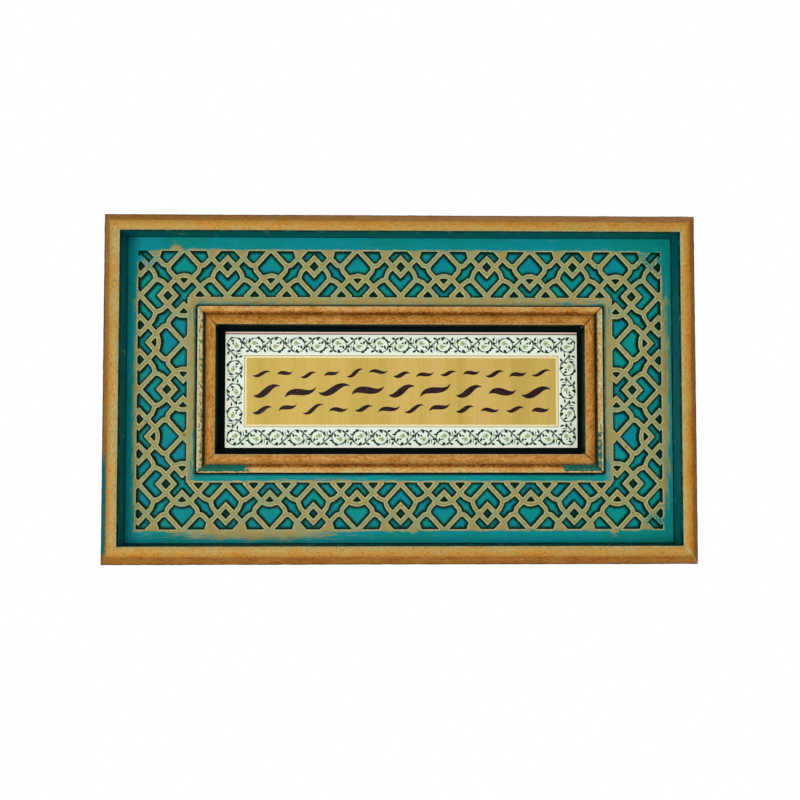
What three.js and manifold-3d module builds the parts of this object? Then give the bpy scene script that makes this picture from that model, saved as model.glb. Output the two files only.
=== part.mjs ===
// Geometric lattice panel for a wall: a pierced sheet of interlaced straps in a deep painted
// wood frame, with a small inner frame round a recessed printed plaque.
// Millimetres, +Z up. The front faces -Y, the flat back lies on y = 0 and the origin is its centre.

import * as THREE from 'three';
import { mergeGeometries, mergeVertices } from 'three/addons/utils/BufferGeometryUtils.js';
import Module from 'manifold-3d';

const wasm = await Module();
wasm.setup();

// Whole panel
const PANEL_WIDTH = 500;
const PANEL_HEIGHT = 295;
const PANEL_DEPTH = 50;
const JOINT = 0.3;

// Outer rails: a square back, a raked outer side and a softly crowned front
const OUTER_RAIL = 17;
const OUTER_SIDE_DEPTH = 32.1;
const OUTER_FRONT_WIDTH = 8.6;
const OUTER_FRONT_RISE = 1.1;
const OUTER_CURVE_STEPS = 6;

// Boards from the back forwards
const BACKING_THICK = 3;
const GROUND_THICK = 12;
const SHEET_THICK = 3;

// Inner rails: an outer step, a groove and a round band that falls to the inner edge
const INNER_OPENING_WIDTH = 313.8;
const INNER_OPENING_HEIGHT = 109.8;
const INNER_RAIL = 16;
const INNER_STEP_WIDTH = 4.35;
const INNER_GROOVE_WIDTH = 3;
const INNER_STEP_PROUD = 4.6;
const INNER_BAND_FOOT_PROUD = 5.6;
const INNER_EDGE_PROUD = 7.8;
const INNER_BAND_RISE = 2.6;
const INNER_GROOVE_DIP = -1.1;
const INNER_CURVE_STEPS = 8;
const WINDOW_GAP = 0.7;

// Plaque, glued a little off the middle of its recess
const PLAQUE_WIDTH = 304;
const PLAQUE_HEIGHT = 100;
const PLAQUE_THICK = 3;
const PLAQUE_SHIFT_X = 1.2;
const PLAQUE_SHIFT_Z = 0.5;

// Pierced pattern: the size of one repeat, and where the pierced ring begins and ends
const REPEAT_WIDTH = 74;
const REPEAT_HEIGHT = 80.2;
const PIERCED_OUTER_WIDTH = 447.8;
const PIERCED_OUTER_HEIGHT = 237.4;
const PIERCED_INNER_WIDTH = 363.8;
const PIERCED_INNER_HEIGHT = 158.2;

// Repeats are counted from the middle of the panel, which lies between two columns and on a row
const LAST_COLUMN = 3.5;
const LAST_ROW = 2;

// A hole that reaches less than this into the ring isn't cut
const SHORTEST_REACH = 3;
const CUTTER_LENGTH = 3 * SHEET_THICK;

// Straps, in fractions of one repeat: the step between crossings, half a strap's width,
// the large arc over each small triangle and beside each arrow, and the heart's shoulder arc
const STEP = 0.0924;
const HALF_STRAP = 0.0257;
const LARGE_ARC = 0.149;
const SHOULDER_ARC = 0.064;
const LARGE_ARC_STEPS = 1;
const SHOULDER_ARC_STEPS = 2;

// Distances from the back plane
const sheetBack = BACKING_THICK + JOINT + GROUND_THICK + JOINT;
const sheetFront = sheetBack + SHEET_THICK;

function paint(color, roughness, metalness) {
  return new THREE.MeshStandardMaterial({ color, roughness, metalness });
}

const goldPaint = () => paint('#b98b45', 0.5, 0.35);
const tealPaint = () => paint('#07868a', 0.55, 0);
const strapPaint = () => paint('#b3a572', 0.55, 0.15);
const printPaint = () => paint('#cdb25f', 0.35, 0.1);
const bareBoard = () => paint('#8a6a45', 0.85, 0);

// Rails

// Continues the path with an arc to (x, y) that rises from its chord, or dips where rise is negative
function arcTo(path, x, y, rise) {
  const from = path.currentPoint.clone();
  const to = new THREE.Vector2(x, y);
  const half = from.distanceTo(to) / 2;
  const radius = (half * half + rise * rise) / (2 * rise);
  const along = to.clone().sub(from).normalize();
  const outward = new THREE.Vector2(along.y, -along.x);
  const centre = from.clone().add(to).multiplyScalar(0.5).addScaledVector(outward, rise - radius);
  const start = from.clone().sub(centre).angle();
  const end = to.clone().sub(centre).angle();
  path.absarc(centre.x, centre.y, Math.abs(radius), start, end, rise < 0);
}

// A section is drawn outwards from the rail's inner face and forwards from the back plane
function outerSection() {
  const edge = PANEL_DEPTH - OUTER_FRONT_RISE;
  const section = new THREE.Shape();
  section.moveTo(0, 0);
  section.lineTo(OUTER_RAIL, 0);
  section.lineTo(OUTER_RAIL, OUTER_SIDE_DEPTH);
  section.lineTo(OUTER_FRONT_WIDTH, edge);
  arcTo(section, 0, edge, OUTER_FRONT_RISE);
  return section;
}

function innerSection() {
  const grooveOuter = INNER_RAIL - INNER_STEP_WIDTH;
  const grooveInner = grooveOuter - INNER_GROOVE_WIDTH;
  const section = new THREE.Shape();
  section.moveTo(0, BACKING_THICK + JOINT);
  section.lineTo(INNER_RAIL, BACKING_THICK + JOINT);
  section.lineTo(INNER_RAIL, sheetFront + INNER_STEP_PROUD);
  section.lineTo(grooveOuter, sheetFront + INNER_STEP_PROUD);
  arcTo(section, grooveInner, sheetFront + INNER_BAND_FOOT_PROUD, INNER_GROOVE_DIP);
  arcTo(section, 0, sheetFront + INNER_EDGE_PROUD, INNER_BAND_RISE);
  return section;
}

// A straight rail above the centre with both ends cut to a mitre: every end point
// lies further along the rail by as much as it lies outwards
function mitredRail(section, halfLength, distance, curveSegments) {
  const settings = { depth: 1, steps: 1, bevelEnabled: false, curveSegments };
  const rail = new THREE.ExtrudeGeometry(section, settings);
  const points = rail.attributes.position;
  const cutBack = JOINT / Math.SQRT2;
  for (let i = 0; i < points.count; i += 1) {
    const outwards = points.getX(i);
    const forwards = points.getY(i);
    const side = points.getZ(i) > 0.5 ? 1 : -1;
    points.setXYZ(i, side * (halfLength + outwards - cutBack), -forwards, distance + outwards);
  }
  rail.computeVertexNormals();
  return rail;
}

// Four mitred rails round an opening, each turned about Y to its side
function railRing(prefix, section, openingWidth, openingHeight, curveSegments) {
  const halfWidth = openingWidth / 2;
  const halfHeight = openingHeight / 2;
  const ring = new THREE.Group();
  const sides = [
    ['top', halfWidth, halfHeight, 0],
    ['bottom', halfWidth, halfHeight, Math.PI],
    ['right', halfHeight, halfWidth, Math.PI / 2],
    ['left', halfHeight, halfWidth, -Math.PI / 2],
  ];
  for (const [side, halfLength, distance, turn] of sides) {
    const rail = new THREE.Mesh(mitredRail(section, halfLength, distance, curveSegments), goldPaint());
    rail.name = `${prefix}_${side}`;
    rail.rotation.y = turn;
    ring.add(rail);
  }
  return ring;
}

// Boards

// Points in the plane of the panel become a prism that grows forwards from y = 0
function prism(outline, thickness) {
  const solid = new THREE.ExtrudeGeometry(outline, { depth: thickness, bevelEnabled: false });
  return solid.rotateX(Math.PI / 2);
}

function rectangle(width, height) {
  const x = width / 2;
  const z = height / 2;
  return [
    new THREE.Vector2(-x, -z),
    new THREE.Vector2(x, -z),
    new THREE.Vector2(x, z),
    new THREE.Vector2(-x, z),
  ];
}

function board(name, outline, thickness, distanceFromBack, material) {
  const mesh = new THREE.Mesh(prism(outline, thickness), material);
  mesh.name = name;
  mesh.position.y = -distanceFromBack;
  return mesh;
}

// The outline that the ground board and the sheet share: they fill the frame round the inner rails
function ringOutline() {
  const outer = 2 * (OUTER_RAIL + JOINT);
  const window = 2 * (INNER_RAIL + WINDOW_GAP);
  const outline = new THREE.Shape(rectangle(PANEL_WIDTH - outer, PANEL_HEIGHT - outer));
  outline.holes.push(new THREE.Path(rectangle(INNER_OPENING_WIDTH + window, INNER_OPENING_HEIGHT + window)));
  return outline;
}

// Pattern of holes
// Every outline is in fractions of one repeat, round a point where two mirror lines cross.
// The straps run at 45 degrees between crossings that lie STEP apart.

const diagonal = HALF_STRAP * Math.SQRT2;
const archCentre = new THREE.Vector2(0, 2 * STEP - Math.sqrt(LARGE_ARC ** 2 - STEP ** 2));
const shoulderCentre = new THREE.Vector2(
  (0.5 - STEP) / 2 - SHOULDER_ARC * Math.SQRT2,
  (0.5 + STEP) / 2,
);
const arrowCentre = new THREE.Vector2(
  (0.5 + STEP + (Math.SQRT2 - 1) * LARGE_ARC) / 2,
  (0.5 - STEP - (Math.SQRT2 + 1) * LARGE_ARC) / 2,
);

// Where the line y = slope x + offset meets a circle, on the side that sign picks
function lineMeetsCircle(slope, offset, centre, radius, sign) {
  const a = 1 + slope * slope;
  const b = 2 * (slope * (offset - centre.y) - centre.x);
  const c = centre.x ** 2 + (offset - centre.y) ** 2 - radius ** 2;
  const x = (-b + sign * Math.sqrt(b * b - 4 * a * c)) / (2 * a);
  return new THREE.Vector2(x, slope * x + offset);
}

function bearing(centre, point) {
  return Math.atan2(point.y - centre.y, point.x - centre.x);
}

function arcPoints(centre, radius, start, end, steps) {
  const points = [];
  for (let i = 0; i <= steps; i += 1) {
    const angle = start + ((end - start) * i) / steps;
    points.push(new THREE.Vector2(
      centre.x + radius * Math.cos(angle),
      centre.y + radius * Math.sin(angle),
    ));
  }
  return points;
}

const point = (x, y) => new THREE.Vector2(x, y);
const mirrorX = (p) => point(-p.x, p.y);
const mirrorY = (p) => point(p.x, -p.y);
const mirrorDiagonal = (p) => point(0.5 - p.y, 0.5 - p.x);

// The half outline's first and last points lie on the mirror line
function closeByMirror(half, mirror) {
  const middle = half.slice(1, -1).reverse();
  return [...half, ...middle.map(mirror)];
}

function diamondHole() {
  const reach = STEP - diagonal;
  return closeByMirror([
    point(2 * STEP + reach, 0),
    point(2 * STEP, reach),
    point(2 * STEP - reach, 0),
  ], mirrorY);
}

function crossHole() {
  const arm = 2 * STEP - diagonal;
  const upperRight = [point(STEP - diagonal, 0), point(arm, STEP), point(STEP, arm), point(0, STEP - diagonal)];
  const upper = [...upperRight, ...upperRight.slice(0, -1).reverse().map(mirrorX)];
  return closeByMirror(upper, mirrorY);
}

function triangleHole() {
  const radius = LARGE_ARC - HALF_STRAP;
  const corner = lineMeetsCircle(1, STEP + diagonal, archCentre, radius, 1);
  const arch = arcPoints(archCentre, radius, bearing(archCentre, corner), Math.PI / 2, LARGE_ARC_STEPS);
  return closeByMirror([point(0, STEP + diagonal), ...arch], mirrorX);
}

function heartHole() {
  const radius = LARGE_ARC + HALF_STRAP;
  const eighth = Math.PI / 4;
  const lobe = lineMeetsCircle(1, STEP + diagonal, archCentre, radius, 1);
  return closeByMirror([
    point(0, 0.5 - diagonal),
    ...arcPoints(shoulderCentre, SHOULDER_ARC - HALF_STRAP, eighth, -eighth, SHOULDER_ARC_STEPS),
    ...arcPoints(archCentre, radius, bearing(archCentre, lobe), Math.PI / 2, LARGE_ARC_STEPS),
  ], mirrorX);
}

function arrowHole() {
  const radius = LARGE_ARC - HALF_STRAP;
  const corner = lineMeetsCircle(-1, 0.5 - diagonal, arrowCentre, radius, -1);
  const end = bearing(arrowCentre, corner);
  return closeByMirror([
    point(3 * STEP + diagonal, 0),
    point(2 * STEP + diagonal, STEP),
    ...arcPoints(arrowCentre, radius, 0.75 * Math.PI, end, LARGE_ARC_STEPS),
    point(0.5 - diagonal, 0),
  ], mirrorY);
}

function boneHole() {
  const shoulderRadius = SHOULDER_ARC + HALF_STRAP;
  const arrowRadius = LARGE_ARC + HALF_STRAP;
  const shoulderNotch = lineMeetsCircle(-1, 0.5, shoulderCentre, shoulderRadius, 1);
  const arrowNotch = lineMeetsCircle(-1, 0.5, arrowCentre, arrowRadius, -1);
  const shoulderEnd = bearing(shoulderCentre, shoulderNotch);
  const arrowEnd = bearing(arrowCentre, arrowNotch);
  return closeByMirror([
    ...arcPoints(shoulderCentre, shoulderRadius, shoulderEnd, -Math.PI / 4, SHOULDER_ARC_STEPS),
    point(STEP + diagonal, 2 * STEP),
    point(2 * STEP, STEP + diagonal),
    ...arcPoints(arrowCentre, arrowRadius, 0.75 * Math.PI, arrowEnd, LARGE_ARC_STEPS),
  ], mirrorDiagonal);
}

// All the holes that belong to one repeat
function repeatOutlines() {
  const upright = [crossHole()];
  for (const hole of [triangleHole(), heartHole()]) {
    upright.push(hole, hole.map(mirrorY));
  }
  for (const hole of [diamondHole(), arrowHole()]) {
    upright.push(hole, hole.map(mirrorX));
  }
  const bones = [boneHole(), boneHole().map(mirrorX)];
  bones.push(...bones.map((hole) => hole.map(mirrorY)));
  return [...upright, ...upright.map((hole) => hole.map(mirrorDiagonal)), ...bones];
}

// Shared vertices are merged, so that the geometry is one closed mesh
function toManifold(geometry) {
  geometry.deleteAttribute('normal');
  geometry.deleteAttribute('uv');
  const merged = mergeVertices(geometry);
  const vertProperties = new Float32Array(merged.attributes.position.array);
  const triVerts = new Uint32Array(merged.index.array);
  return new wasm.Manifold(new wasm.Mesh({ numProp: 3, vertProperties, triVerts }));
}

function fromManifold(solid) {
  const mesh = solid.getMesh();
  const geometry = new THREE.BufferGeometry();
  geometry.setAttribute('position', new THREE.BufferAttribute(mesh.vertProperties, 3));
  geometry.setIndex(new THREE.BufferAttribute(mesh.triVerts, 1));
  geometry.computeVertexNormals();
  return geometry;
}

// Whether a point lies well inside the pierced ring
function wellInRing(p) {
  const x = Math.abs(p.x);
  const z = Math.abs(p.y);
  const insideOuter = x < PIERCED_OUTER_WIDTH / 2 - SHORTEST_REACH
    && z < PIERCED_OUTER_HEIGHT / 2 - SHORTEST_REACH;
  const beyondInner = x > PIERCED_INNER_WIDTH / 2 + SHORTEST_REACH
    || z > PIERCED_INNER_HEIGHT / 2 + SHORTEST_REACH;
  return insideOuter && beyondInner;
}

// Hole cutters all over the ring, longer than the sheet is thick at both ends
function holeCutters() {
  const cutters = [];
  const outlines = repeatOutlines();
  for (let column = -LAST_COLUMN; column <= LAST_COLUMN; column += 1) {
    for (let row = -LAST_ROW; row <= LAST_ROW; row += 1) {
      for (const outline of outlines) {
        const placed = outline.map((p) => point((column + p.x) * REPEAT_WIDTH, (row + p.y) * REPEAT_HEIGHT));
        if (placed.some(wellInRing)) {
          cutters.push(prism(new THREE.Shape(placed), CUTTER_LENGTH));
        }
      }
    }
  }
  return toManifold(mergeGeometries(cutters).translate(0, SHEET_THICK, 0));
}

// The holes are cut off straight at the pierced ring's outer and inner edges
function piercedSheet() {
  const ring = new THREE.Shape(rectangle(PIERCED_OUTER_WIDTH, PIERCED_OUTER_HEIGHT));
  ring.holes.push(new THREE.Path(rectangle(PIERCED_INNER_WIDTH, PIERCED_INNER_HEIGHT)));
  const ringSolid = toManifold(prism(ring, CUTTER_LENGTH).translate(0, SHEET_THICK, 0));
  const holes = holeCutters().intersect(ringSolid);
  return fromManifold(toManifold(prism(ringOutline(), SHEET_THICK)).subtract(holes));
}

// Assembly

const outerOpeningWidth = PANEL_WIDTH - 2 * OUTER_RAIL;
const outerOpeningHeight = PANEL_HEIGHT - 2 * OUTER_RAIL;
const backing = new THREE.Shape(rectangle(outerOpeningWidth - 2 * JOINT, outerOpeningHeight - 2 * JOINT));

const sheet = new THREE.Mesh(piercedSheet(), strapPaint());
sheet.name = 'lattice_sheet';
sheet.position.y = -sheetBack;

const plaque = board(
  'plaque',
  new THREE.Shape(rectangle(PLAQUE_WIDTH, PLAQUE_HEIGHT)),
  PLAQUE_THICK,
  BACKING_THICK + JOINT,
  printPaint(),
);
plaque.position.x = PLAQUE_SHIFT_X;
plaque.position.z = PLAQUE_SHIFT_Z;

const panel = new THREE.Group();
panel.add(railRing(
  'outer_rail',
  outerSection(),
  outerOpeningWidth,
  outerOpeningHeight,
  OUTER_CURVE_STEPS,
));
panel.add(railRing(
  'inner_rail',
  innerSection(),
  INNER_OPENING_WIDTH,
  INNER_OPENING_HEIGHT,
  INNER_CURVE_STEPS,
));
panel.add(board('backing_board', backing, BACKING_THICK, 0, bareBoard()));
panel.add(board('ground_board', ringOutline(), GROUND_THICK, BACKING_THICK + JOINT, tealPaint()));
panel.add(sheet);
panel.add(plaque);

export default panel;
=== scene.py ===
# Looks of a geometric lattice panel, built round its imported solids.
# Metres, +Z up. The front faces -Y and the flat back lies on y = 0.

import cmath
import math
import random

import bmesh
import bpy
import numpy as np
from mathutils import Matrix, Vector, kdtree, noise
from mathutils.geometry import delaunay_2d_cdt


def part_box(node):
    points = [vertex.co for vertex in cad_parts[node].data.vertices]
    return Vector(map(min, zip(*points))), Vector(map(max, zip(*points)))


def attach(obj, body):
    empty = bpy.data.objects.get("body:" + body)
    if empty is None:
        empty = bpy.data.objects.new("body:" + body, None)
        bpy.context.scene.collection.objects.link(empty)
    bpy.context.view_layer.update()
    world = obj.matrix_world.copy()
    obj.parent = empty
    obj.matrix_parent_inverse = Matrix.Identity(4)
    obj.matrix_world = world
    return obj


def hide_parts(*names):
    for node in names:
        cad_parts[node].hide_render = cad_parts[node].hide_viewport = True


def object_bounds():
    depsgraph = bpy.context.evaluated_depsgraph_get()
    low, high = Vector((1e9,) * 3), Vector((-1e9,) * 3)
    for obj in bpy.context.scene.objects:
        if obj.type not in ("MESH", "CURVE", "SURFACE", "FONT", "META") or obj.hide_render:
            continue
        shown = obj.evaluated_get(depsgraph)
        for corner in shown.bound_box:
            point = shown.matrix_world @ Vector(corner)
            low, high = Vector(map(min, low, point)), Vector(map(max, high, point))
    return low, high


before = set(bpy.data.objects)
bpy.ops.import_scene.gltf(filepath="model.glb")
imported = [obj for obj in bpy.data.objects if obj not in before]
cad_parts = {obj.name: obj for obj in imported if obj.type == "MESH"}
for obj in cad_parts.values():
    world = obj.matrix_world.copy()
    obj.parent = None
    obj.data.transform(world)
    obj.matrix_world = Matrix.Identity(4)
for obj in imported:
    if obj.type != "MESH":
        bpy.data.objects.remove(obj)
cad_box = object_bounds()

MM = 0.001

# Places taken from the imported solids
sheet_low, sheet_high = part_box("lattice_sheet")
ground_low, ground_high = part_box("ground_board")
plaque_low, plaque_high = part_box("plaque")
outer_rail_low, outer_rail_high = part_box("outer_rail_top")
inner_rail_low, inner_rail_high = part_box("inner_rail_top")
SHEET_FRONT = -sheet_low.y
SHEET_BACK = -sheet_high.y
PANEL_DEPTH = -outer_rail_low.y

# Outer rail section
OUTER_RAIL = outer_rail_high.z - outer_rail_low.z
OUTER_SIDE_DEPTH = 32.1 * MM
OUTER_FRONT_WIDTH = 8.6 * MM
OUTER_FRONT_RISE = 1.1 * MM

# Inner rail section
INNER_RAIL = inner_rail_high.z - inner_rail_low.z
INNER_STEP_WIDTH = 4.35 * MM
INNER_GROOVE_WIDTH = 3 * MM
INNER_STEP_PROUD = 4.6 * MM
INNER_BAND_FOOT_PROUD = 5.6 * MM
INNER_EDGE_PROUD = 7.8 * MM
INNER_BAND_RISE = 2.6 * MM
INNER_GROOVE_DIP = -1.1 * MM

# Pierced pattern, with lengths in fractions of one repeat where no unit is given
REPEAT_WIDTH = 74 * MM
REPEAT_HEIGHT = 80.2 * MM
PIERCED_OUTER = (447.8 * MM, 237.4 * MM)
PIERCED_INNER = (363.8 * MM, 158.2 * MM)
STEP = 0.0924
HALF_STRAP = 0.0257
LARGE_ARC = 0.149
SHOULDER_ARC = 0.064
ARC_STEPS = 8
COLUMNS = (-3.5, -2.5, -1.5, -0.5, 0.5, 1.5, 2.5, 3.5)
ROWS = (-2, -1, 0, 1, 2)

# Fineness of the cut edges
FINE = 0.2 * MM
HOLE_CORNER = 0.3 * MM
EDGE_ROUND = 0.3 * MM
EDGE_DROP = 0.3 * MM
WALL_TAPER = 0.2 * MM
HOLE_TURN = math.radians(14)
HOLE_RUN = 30 * MM
SMALLEST_HOLE = 6 * MM * MM
# Holes smaller than this get more painted shade on the ground under them
SHADED_HOLE_AREA = 45 * MM * MM
STRAP_GRID = 1.15 * MM
MARGIN_GRID = 2.6 * MM
GRID_JITTER = 0.22
SAME_POINT = 1e-7

# How far the grids' points stay from the cut edges on the sheet and under it, and from the window
SHEET_CLEAR = 0.75 * MM
FLOOR_CLEAR = 0.35 * MM
WINDOW_CLEAR = 0.6 * MM

# Gap between the inner rails and the window round them
WINDOW_GAP = 0.7 * MM

# Fineness and unevenness of the rails
RAIL_TURN = math.radians(9)
RAIL_RUN = 2.2 * MM
STATION_STEP = 1.6 * MM
MITRE_STATIONS = (0.4 * MM, 0.9 * MM)
WAVE_SIZE = 9 * MM
RIPPLE_SIZE = 2.6 * MM
CHIP_SIZE = 4 * MM


# Plane outlines, as arrays of points

def as_points(outline):
    """Complex numbers become rows of two coordinates"""
    return np.array([(p.real, p.imag) for p in outline])


def arc(centre, radius, start, end, steps=ARC_STEPS):
    turns = [start + (end - start) * i / steps for i in range(steps + 1)]
    return [centre + radius * cmath.exp(1j * turn) for turn in turns]


def bowed(start, end, rise, steps=ARC_STEPS):
    """An arc that rises to the left of its chord, or dips where rise is negative, without its first point"""
    chord = end - start
    half = abs(chord) / 2
    radius = (half * half + rise * rise) / (2 * rise)
    centre = (start + end) / 2 + (rise - radius) * 1j * chord / abs(chord)
    sweep = -2 * math.asin(half / radius)
    return [centre + (start - centre) * cmath.exp(1j * sweep * i / steps) for i in range(1, steps + 1)]


def evenly(outline, spacing):
    """The closed outline again with points about one spacing apart"""
    closed = np.vstack([outline, outline[:1]])
    way = np.concatenate([[0], np.cumsum(np.linalg.norm(np.diff(closed, axis=0), axis=1))])
    count = max(12, round(way[-1] / spacing))
    at = np.arange(count) * way[-1] / count
    return np.column_stack([np.interp(at, way, closed[:, k]) for k in (0, 1)])


def begun_on_longest_side(outline):
    """The closed outline again, begun in the middle of its longest side"""
    lengths = np.linalg.norm(np.roll(outline, -1, axis=0) - outline, axis=1)
    turned = np.roll(outline, -1 - int(np.argmax(lengths)), axis=0)
    return np.vstack([(turned[:1] + turned[-1:]) / 2, turned])


def soften(outline, spacing, reach):
    """Rounds every corner of an evenly spaced closed outline"""
    span = math.ceil(3 * reach / spacing)
    offsets = np.arange(-span, span + 1)
    weights = np.exp(-0.5 * (offsets * spacing / reach) ** 2)
    weights /= weights.sum()
    return sum(w * np.roll(outline, k, axis=0) for k, w in zip(offsets, weights))


def thin_out(outline, turn, longest):
    """Which points to keep so that the outline never turns or runs further than that between two"""
    ahead = np.roll(outline, -1, axis=0) - outline
    bearing = np.unwrap(np.arctan2(ahead[:, 1], ahead[:, 0]))
    kept = [0]
    for i in range(1, len(outline)):
        last = kept[-1]
        if abs(bearing[i] - bearing[last]) > turn or np.linalg.norm(outline[i] - outline[last]) > longest:
            kept.append(i)
    return kept


def outward(outline):
    """Unit normals that point out of a counterclockwise outline"""
    ahead = np.roll(outline, -1, axis=0) - outline
    ahead /= np.linalg.norm(ahead, axis=1)[:, None]
    along = ahead + np.roll(ahead, 1, axis=0)
    along /= np.linalg.norm(along, axis=1)[:, None]
    return np.column_stack([along[:, 1], -along[:, 0]])


def area(outline):
    """Positive for a counterclockwise outline"""
    x, y = outline[:, 0], outline[:, 1]
    return np.sum(x * np.roll(y, -1) - y * np.roll(x, -1)) / 2


def counterclockwise(outline):
    return outline if area(outline) > 0 else outline[::-1]


def rectangle(width, height):
    return np.array([(-1, -1), (1, -1), (1, 1), (-1, 1)]) * (width / 2, height / 2)


def within(points, size):
    """Which points lie inside a rectangle round the middle"""
    return np.all(np.abs(points) < np.array(size) / 2, axis=1)


def inside(outline, points):
    """Which points lie inside a closed outline"""
    result = np.zeros(len(points), bool)
    near = np.all((points > outline.min(0)) & (points < outline.max(0)), axis=1)
    x, y = points[near].T
    hit = np.zeros(len(x), bool)
    for (x0, y0), (x1, y1) in zip(outline, np.roll(outline, -1, axis=0)):
        if y0 != y1:
            crosses = ((y0 > y) != (y1 > y)) & (x < (x1 - x0) * (y - y0) / (y1 - y0) + x0)
            hit ^= crosses
    result[near] = hit
    return result


def fill_plane(outlines, loose=()):
    """Points and triangles over the plane that keep all outlines, and which outlines hold each triangle"""
    corners, faces = [], []
    for outline in outlines:
        faces.append(list(range(len(corners), len(corners) + len(outline))))
        corners += [Vector(p) for p in counterclockwise(outline)]
    corners += [Vector(p) for p in loose]
    points, _, triangles, _, _, owners = delaunay_2d_cdt(corners, [], faces, 0, SAME_POINT, True)
    return np.array(points), triangles, owners


# Meshes

def add_object(name, data):
    made = bpy.data.objects.new(name, data)
    bpy.context.scene.collection.objects.link(made)
    return made


class Shell:
    """Collects the points and faces of one piece"""

    def __init__(self):
        self.points = []
        self.faces = []
        self.slots = []

    def add(self, points, faces, slot=0):
        start = len(self.points)
        self.points += [tuple(p) for p in points]
        self.faces += [[start + i for i in face] for face in faces]
        self.slots += [slot] * len(faces) if isinstance(slot, int) else list(slot)

    def plane(self, points, triangles, forwards, slot=0):
        """Triangles that lie in the plane at that distance in front of the back"""
        self.add([(x, -forwards, z) for x, z in points], triangles, slot)

    def board(self, outlines, forwards, loose=()):
        """The plane inside the first outline and outside the others"""
        points, triangles, owners = fill_plane(outlines, loose)
        self.plane(points, [t for t, held in zip(triangles, owners) if held == [0]], forwards)

    def strip(self, first, second, slot=0):
        """A band of faces between two outlines, each given as (points, distance forwards)"""
        (low, low_forwards), (high, high_forwards) = first, second
        count = len(low)
        points = [(x, -low_forwards, z) for x, z in low] + [(x, -high_forwards, z) for x, z in high]
        faces = [[i, (i + 1) % count, count + (i + 1) % count, count + i] for i in range(count)]
        self.add(points, faces, slot)

    def walls(self, outlines, front, back):
        for outline in outlines:
            self.strip((outline, front), (outline, back))

    def piece(self, name, materials, sharp, values=None):
        """The finished object. values is a function that gives each attribute's numbers at the points"""
        coordinates = np.array(self.points, np.float32)
        keys = np.round(coordinates / (2 * SAME_POINT)).astype(np.int64)
        _, first, index = np.unique(keys, axis=0, return_index=True, return_inverse=True)
        index = index.ravel()
        coordinates = coordinates[first]
        mesh = bpy.data.meshes.new(name)
        mesh.from_pydata(coordinates.tolist(), [], [[int(index[i]) for i in face] for face in self.faces])
        for material in materials:
            mesh.materials.append(material)
        mesh.polygons.foreach_set("material_index", self.slots)
        for attribute, found in (values(coordinates) if values else {}).items():
            found = np.asarray(found, np.float32)
            kind = "FLOAT" if found.ndim == 1 else "FLOAT_VECTOR"
            field = "value" if found.ndim == 1 else "vector"
            mesh.attributes.new(attribute, kind, "POINT").data.foreach_set(field, found.ravel())
        shape = bmesh.new()
        shape.from_mesh(mesh)
        bmesh.ops.recalc_face_normals(shape, faces=shape.faces)
        shape.to_mesh(mesh)
        shape.free()
        mesh.shade_smooth()
        mesh.set_sharp_from_angle(angle=math.radians(sharp))
        return add_object(name, mesh)


# Lattice pattern
# Each hole's outline is a list of complex numbers in fractions of one repeat, round a point
# where two mirror lines cross. The straps run at 45 degrees between crossings STEP apart.

diagonal = HALF_STRAP * math.sqrt(2)
arch_centre = 1j * (2 * STEP - math.sqrt(LARGE_ARC ** 2 - STEP ** 2))
shoulder_centre = complex((0.5 - STEP) / 2 - SHOULDER_ARC * math.sqrt(2), (0.5 + STEP) / 2)
arrow_centre = complex(
    0.5 + STEP + (math.sqrt(2) - 1) * LARGE_ARC,
    0.5 - STEP - (math.sqrt(2) + 1) * LARGE_ARC,
) / 2


def mirror_x(p):
    return -p.conjugate()


def mirror_y(p):
    return p.conjugate()


def mirror_diagonal(p):
    return complex(0.5 - p.imag, 0.5 - p.real)


def mirrored(outline, mirror):
    return [mirror(p) for p in outline]


def close_by_mirror(half, mirror):
    """The half outline's first and last points lie on the mirror line"""
    return half + mirrored(reversed(half[1:-1]), mirror)


def line_meets_circle(slope, offset, centre, radius, sign):
    a = 1 + slope * slope
    b = 2 * (slope * (offset - centre.imag) - centre.real)
    c = centre.real ** 2 + (offset - centre.imag) ** 2 - radius ** 2
    x = (-b + sign * math.sqrt(b * b - 4 * a * c)) / (2 * a)
    return complex(x, slope * x + offset)


def diamond_hole():
    reach = STEP - diagonal
    half = [complex(2 * STEP + reach, 0), complex(2 * STEP, reach), complex(2 * STEP - reach, 0)]
    return close_by_mirror(half, mirror_y)


def cross_hole():
    arm = 2 * STEP - diagonal
    inner = STEP - diagonal
    quarter = [complex(inner, 0), complex(arm, STEP), complex(STEP, arm), complex(0, inner)]
    upper = quarter + mirrored(reversed(quarter[:-1]), mirror_x)
    return close_by_mirror(upper, mirror_y)


def triangle_hole():
    radius = LARGE_ARC - HALF_STRAP
    corner = line_meets_circle(1, STEP + diagonal, arch_centre, radius, 1)
    arch = arc(arch_centre, radius, cmath.phase(corner - arch_centre), math.pi / 2)
    return close_by_mirror([1j * (STEP + diagonal)] + arch, mirror_x)


def heart_hole():
    radius = LARGE_ARC + HALF_STRAP
    lobe = line_meets_circle(1, STEP + diagonal, arch_centre, radius, 1)
    shoulder = arc(shoulder_centre, SHOULDER_ARC - HALF_STRAP, math.pi / 4, -math.pi / 4)
    arch = arc(arch_centre, radius, cmath.phase(lobe - arch_centre), math.pi / 2)
    return close_by_mirror([1j * (0.5 - diagonal)] + shoulder + arch, mirror_x)


def arrow_hole():
    radius = LARGE_ARC - HALF_STRAP
    corner = line_meets_circle(-1, 0.5 - diagonal, arrow_centre, radius, -1)
    side = arc(arrow_centre, radius, 0.75 * math.pi, cmath.phase(corner - arrow_centre))
    start = [3 * STEP + diagonal + 0j, complex(2 * STEP + diagonal, STEP)]
    return close_by_mirror(start + side + [0.5 - diagonal + 0j], mirror_y)


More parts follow.
